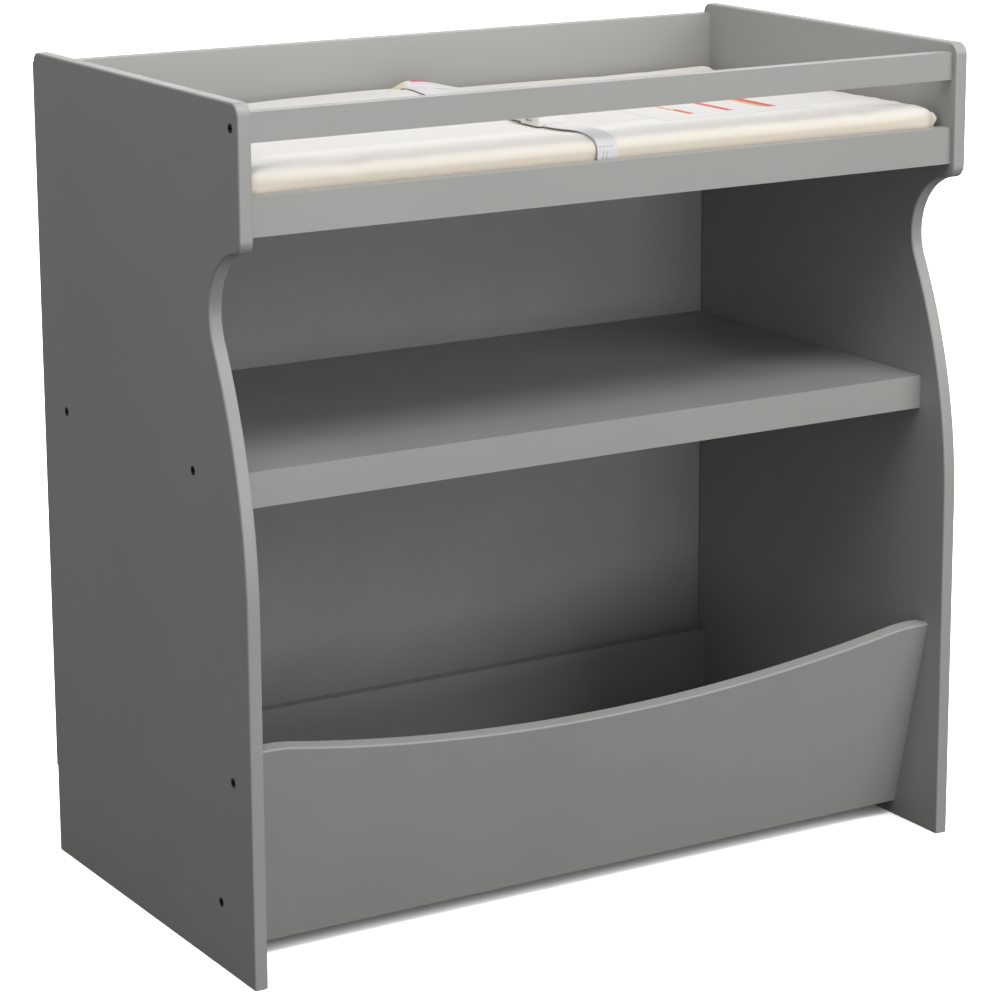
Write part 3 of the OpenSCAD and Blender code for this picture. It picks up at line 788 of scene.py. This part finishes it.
def stitches(name, rows, length=3.2 * MM, gap=1.4 * MM, radius=0.42 * MM):
    """Thread that dips in and out of a surface: along each row, short capsules that rise in their middle.

    rows are (line, outward directions) pairs. A capsule's radius falls to its ends as the root of 1 - s^6."""
    points, faces = [], []
    ring = np.linspace(0, 2 * math.pi, 8, endpoint=False)
    s = np.linspace(-1, 1, 7)
    fine = 0.5 * MM
    for line, out in rows:
        spaced = even_steps(line, fine)
        at, known = np.linspace(0, 1, len(spaced)), np.linspace(0, 1, len(out))
        normal = np.stack([np.interp(at, known, out[:, k]) for k in range(3)], 1)
        step = max(int((length + gap) / fine), 2)
        for k in range(0, len(spaced) - step, step):
            a, b = spaced[k], spaced[k + int(length / fine)]
            n = normal[k]
            run = (b - a) / np.linalg.norm(b - a)
            other = np.cross(run, n)
            centre = (a + b) / 2 + np.outer(s, b - a) / 2 + np.outer((1 - s ** 4) * 0.3 * radius, n)
            thick = radius * np.sqrt(np.maximum(1 - s ** 6, 0.02))
            tube = (centre[:, None, :] + thick[:, None, None] * (np.cos(ring)[None, :, None] * n
                    + np.sin(ring)[None, :, None] * other))
            faces.extend(tube_faces(len(s), len(ring), len(points) * tube.size // 3))
            points.append(tube.reshape(-1, 3))
    return outward(mesh_object(name, np.concatenate(points), faces))


def strap_seams(face, out):
    """Rows of stitches on the strap's front: one across it at SEAM_Z, and two that run down from there.

    face is the strap's middle line, whose first 20 points go up the pad's front."""
    across, front_count, count = np.array([1, 0, 0]), 20, 30
    seam = int(np.argmin(np.abs(face[:front_count, 2] - SEAM_Z)))
    places = np.linspace(-1, 1, count)[:, None] * (STRAP_W / 2 - 2 * MM) * across
    rows = [(face[seam] + places, np.repeat(out[seam][None, :], count, 0))]
    for from_left in SEAM_FROM_LEFT:
        rows.append((face[:seam] + (from_left - STRAP_W / 2) * across, out[:seam]))
    return rows


def on_top(tree, x, y, above):
    """Heights just above the pad's top at these places."""
    flat = np.stack([x.ravel(), y.ravel()], 1)
    flat[:, 1] = np.clip(flat[:, 1], PAD_LOW.y + 5 * MM, PAD_HIGH.y - 5 * MM)
    high = [tree.ray_cast(Vector((px, py, PAD_TOP + 0.1)), Vector((0, 0, -1)))[0].z for px, py in flat]
    return (np.array(high) + above).reshape(x.shape)


def make_film(tree):
    """The printed film: a rectangle laid on the pad's top, with a thin wall."""
    low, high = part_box("printed_patch")
    rows, columns = 47, 77
    u = np.linspace(low.x, high.x, columns)[None, :]
    v = np.linspace(low.y, high.y, rows)[:, None]
    x, y = np.broadcast_arrays(u, v)
    z = on_top(tree, x, y, 0.17 * MM)
    points = np.stack([x, y, z], -1).reshape(-1, 3)
    uv = np.stack([x - low.x, y - low.y], -1).reshape(-1, 2)
    made = mesh_object("printed_film_patch", points, grid_faces(rows, columns), uv)
    add(made, "SOLIDIFY", thickness=0.15 * MM, offset=-1)
    return made


def make_tag(tree):
    """The care tag sewn in at the rear edge: a doubled strip of satin that lies forward in one soft fold.

    u runs along the edge and v forwards. The fold's section is an arch, the sine of pi v^0.7, and its height
    along u is 1 - |u|^2.2, higher towards the left."""
    low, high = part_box("strap_tag")
    middle = (low.x + high.x) / 2 - 4 * MM
    half, deep, fold = 40 * MM, 22 * MM, 8.5 * MM
    rows, columns = 25, 61
    u = np.linspace(-1, 1, columns)[None, :]
    v = np.linspace(0, 1, rows)[:, None]
    rise = fold * (1 - np.abs(u) ** 2.2) * (1 - 0.35 * u)
    arch = np.sin(math.pi * v ** 0.7)
    skew = 6 * MM * v
    x, y = np.broadcast_arrays(middle + half * u + skew, high.y - 3 * MM - deep * v * (1 + 0.25 * u))
    z = on_top(tree, x, y, 0.5 * MM) + rise * arch
    points = np.stack([x, y, z], -1).reshape(-1, 3)
    uv = np.stack(np.broadcast_arrays(half * u, 30 * MM * v), -1).reshape(-1, 2)
    made = mesh_object("care_tag", points, grid_faces(rows, columns), uv)
    add(made, "SOLIDIFY", thickness=0.8 * MM, offset=1)
    add(made, "SUBSURF", levels=1, render_levels=1)
    return made


def tag_cloth():
    """Pale satin: a tan painted shadow on the left, a coral band along the crest and soft lilac and green
    bands.
    """
    p = Paint("tag_cloth", (0.82, 0.78, 0.83), 0.6, sheen_weight=0.1)
    split = p.node("ShaderNodeSeparateXYZ", Vector=p.uv())
    x, y = split.outputs["X"], split.outputs["Y"]
    thread = p.noise(900.0, detail=2.0)
    shown = p.mix(thread, (0.62, 0.58, 0.57), (0.7, 0.66, 0.65))
    for left, right, start, stop, color in TAG_BANDS:
        across = p.band(x, left * MM, right * MM, 2 * MM)
        deep = p.band(y, start * MM, stop * MM, 1 * MM)
        shown = p.mix(p.math("MULTIPLY", across, deep), shown, color)
    p.color(shown)
    p.bump(thread, 0.00012, 0.5)
    return p.material


# Bands on the tag: left and right end from its middle, start and end from the seam, in mm; colour
TAG_BANDS = [
    # the first, tan band is painted shadow on the tag's left side
    (-60, -24, 0, 30, (0.62, 0.52, 0.38)), (-16, 24, 9, 18, (0.5, 0.12, 0.08)),
    (-20, 6, 20, 25, (0.6, 0.53, 0.68)), (4, 30, 20, 25, (0.5, 0.62, 0.58)),
    (34, 60, 10, 20, (0.4, 0.25, 0.16)),
]


def make_corner_seams(tree):
    """The cover's welded corners: at each upright corner a thin fin that stands out and sways a little.

    A fin's section is an ellipse, drawn out from the pad to its reach. The reach is level along most of the
    corner, falls to nothing at its two ends and grows longer near the top."""
    rows, columns = 24, 12
    s = np.linspace(0, 1, rows)
    t = np.linspace(0, 2 * math.pi, columns, endpoint=False)
    deep = (np.cos(t) + 1) / 2
    wide = np.sin(t) * 0.6 * MM
    heights = np.linspace(PAD_LOW.z + 4 * MM, PAD_TOP - 5 * MM, rows)
    longer = 4.0 * MM * ramp(heights, 798, 8)
    reach = (4.4 * MM + longer) * np.sin(math.pi * np.clip(s * 0.96 + 0.02, 0, 1)) ** 0.35
    fins, faces = [], []
    for sx in (-1, 1):
        for sy in (-1, 1):
            out = Vector((sx, sy, 0)).normalized()
            heart_x = (PAD_HIGH.x if sx > 0 else PAD_LOW.x) - sx * 25 * MM
            heart_y = (PAD_HIGH.y if sy > 0 else PAD_LOW.y) - sy * 25 * MM
            starts = [Vector((heart_x, heart_y, z)) + out * 0.1 for z in heights]
            line = np.array([tree.ray_cast(start, -out)[0][:] for start in starts])
            sideways = np.array([-out.y, out.x, 0])
            sway = 0.8 * MM * np.sin(9 * s + sx + 2 * sy)
            outwards = reach[:, None] * deep[None, :] - 1.2 * MM
            across = wide[None, :] + sway[:, None] * deep[None, :]
            grid = line[:, None, :] + np.array(out) * outwards[..., None] + sideways * across[..., None]
            faces.extend(tube_faces(rows, columns, len(fins) * rows * columns))
            fins.append(grid.reshape(-1, 3))
    return outward(mesh_object("corner_seams", np.concatenate(fins), faces))


# ---------------------------------------------------------------- floor and lights


FLOOR_SEEN = 0.9  # the floor's tone to the eye
FLOOR_BOUNCE = 0.04  # and to the light that it throws back


def make_floor():
    """A plain white floor: bright to the eye, with only a faint bounce onto the object."""
    size = 40.0
    points = np.array([[-size, -size, 0], [size, -size, 0], [size, size, 0], [-size, size, 0]], float)
    floor = mesh_object("floor", points, [(0, 1, 2, 3)])
    material = bpy.data.materials.new("floor_white")
    material.use_nodes = True
    tree = material.node_tree
    tree.nodes.clear()
    path = tree.nodes.new("ShaderNodeLightPath")
    seen, bounced = tree.nodes.new("ShaderNodeBsdfDiffuse"), tree.nodes.new("ShaderNodeBsdfDiffuse")
    for shader, tone in ((seen, FLOOR_SEEN), (bounced, FLOOR_BOUNCE)):
        shader.inputs["Color"].default_value = (tone, tone, tone, 1)
    both = tree.nodes.new("ShaderNodeMixShader")
    out = tree.nodes.new("ShaderNodeOutputMaterial")
    tree.links.new(path.outputs["Is Camera Ray"], both.inputs[0])
    tree.links.new(bounced.outputs[0], both.inputs[1])
    tree.links.new(seen.outputs[0], both.inputs[2])
    tree.links.new(both.outputs[0], out.inputs["Surface"])
    floor.data.materials.append(material)
    return floor


def soft_box(name, place, aim, size, power):
    """A rectangular area light at place, turned to aim."""
    data = bpy.data.lights.new(name, "AREA")
    data.shape = "RECTANGLE"
    data.size, data.size_y = size
    data.energy = power
    light = linked(name, data)
    light.location = place
    light.rotation_mode = "QUATERNION"
    light.rotation_quaternion = (Vector(aim) - Vector(place)).to_track_quat("-Z", "Y")


# Name, place, aim, size and power of each soft box
LIGHTS = [
    ("overhead", (0.0, -0.1, 2.4), (0, 0, 0.8), (1.2, 0.9), 5.2),
    ("over_front", (0.2, -1.4, 2.6), (0, 0, 0.6), (1.4, 0.8), 26.8),
    ("front_right", (1.8, -2.6, 2.0), (0, 0, 0.5), (1.2, 1.2), 20.7),
    ("front_low", (0.4, -3.4, 0.7), (0, 0, 0.5), (1.6, 0.8), 27.6),
    ("over_left", (-1.4, -0.4, 2.6), (0, 0, 0.8), (1.0, 1.0), 9.8),
    ("behind", (1.5, 2.6, 1.7), (0, 0, 0.8), (3.0, 1.4), 16.0),
]
AMBIENT = 0.385
FLOOR_LIGHT = 7.0


def make_lights(floor):
    """Studio soft boxes, a dim even surround and a wide soft light that reaches only the floor."""
    for name, place, aim, size, power in LIGHTS:
        soft_box(name, place, aim, size, power)
    only_floor = bpy.data.collections.new("floor_only")
    only_floor.objects.link(floor)
    sky = bpy.data.lights.new("floor_sky", "SUN")
    sky.energy = FLOOR_LIGHT
    sky.angle = math.radians(150)
    above = linked("floor_sky", sky)
    above.location = (0, 0, 5)
    above.light_linking.receiver_collection = only_floor
    world = bpy.data.worlds.new("surround")
    world.use_nodes = True
    ground = world.node_tree.nodes["Background"]
    ground.inputs["Color"].default_value = (1, 1, 1, 1)
    ground.inputs["Strength"].default_value = AMBIENT
    bpy.context.scene.world = world


# ---------------------------------------------------------------- assembly

make_camera()
board_paint = painted_board()
back_paint = painted_back()
BOARDS = {
    "guard_rail": "guard_rail_board", "deck_front_rail": "deck_rail_board", "changing_deck": "deck_board",
    "upper_back_board": "upper_back", "middle_shelf": "shelf_board", "shelf_front_rail": "shelf_rail_board",
    "bin_front_panel": "bin_front", "bin_floor": "bin_floor_board", "lower_back_board": "lower_back",
}
for node_name, piece_name in BOARDS.items():
    board = softened(node_name, piece_name, BOARD_ROUND)
    finish_piece(board, "table", board_paint, "painted_board", node_name)
for node_name, piece_name in (("left_side_panel", "left_side"), ("right_side_panel", "right_side")):
    board = rounded_side(node_name, piece_name, BOARD_ROUND)
    finish_piece(board, "table", board_paint, "painted_board", node_name)

HARDWARE = {
    "back_panel": back_paint,
    "side_screws": mottled("dark_steel", (0.035, 0.035, 0.037), 0.42, 0.6),
    "cam_locks": mottled("zinc", (0.6, 0.6, 0.62), 0.34, 1.0),
    "wooden_dowels": beech_wood(),
}
HARDWARE["cam_bolts"] = HARDWARE["back_nails"] = HARDWARE["cam_locks"]
for node_name, material in HARDWARE.items():
    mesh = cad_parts[node_name].data
    mesh.materials.clear()
    mesh.materials.append(material)

vinyl = pad_vinyl()
webbing = strap_webbing()
plastic = moulded_plastic()
thread = mottled("seam_thread", (0.5, 0.48, 0.54), 0.7, 0.0)

pad = make_pad()
finish_piece(pad, "changing_pad", vinyl, "pad_vinyl", "pad_cover")
pad_tree = BVHTree.FromPolygons([v.co[:] for v in pad.data.vertices],
                                [p.vertices[:] for p in pad.data.polygons])
foam = make_foam()
finish_piece(foam, "changing_pad", open_foam(), "foam", "pad_foam")
finish_piece(make_corner_seams(pad_tree), "changing_pad", vinyl, "pad_vinyl")

front_line = section_path(pad_tree, STRAP_X, SOCKET_LOW.y - 1 * MM, -1)
front_strap, front_face, front_out = ribbon("front_strap_webbing", front_line)
finish_piece(front_strap, "changing_pad", webbing, "webbing", "front_strap")
seam_rows = strap_seams(front_face, front_out)
finish_piece(stitches("strap_stitches", seam_rows), "changing_pad", thread, "webbing")
rear_line = section_path(pad_tree, STRAP_X, SOCKET_HIGH.y + 1 * MM, 1)
rear_strap = ribbon("rear_strap_webbing", rear_line)[0]
finish_piece(rear_strap, "changing_pad", webbing, "webbing", "rear_strap")

film = make_film(pad_tree)
finish_piece(film, "changing_pad", printed_film(), "printed_film", "printed_patch")
tag = make_tag(pad_tree)
finish_piece(tag, "changing_pad", tag_cloth(), "webbing", "strap_tag")

for node_name, piece_name, body in (("buckle_socket", "buckle_housing", "changing_pad"),
                                    ("buckle_plug", "buckle_tongue", "buckle_male")):
    part = softened(node_name, piece_name, BUCKLE_ROUND, keep_ends=False)
    finish_piece(part, body, plastic, "buckle_plastic", node_name)

floor = make_floor()
make_lights(floor)
bpy.context.scene.view_settings.view_transform = "Standard"
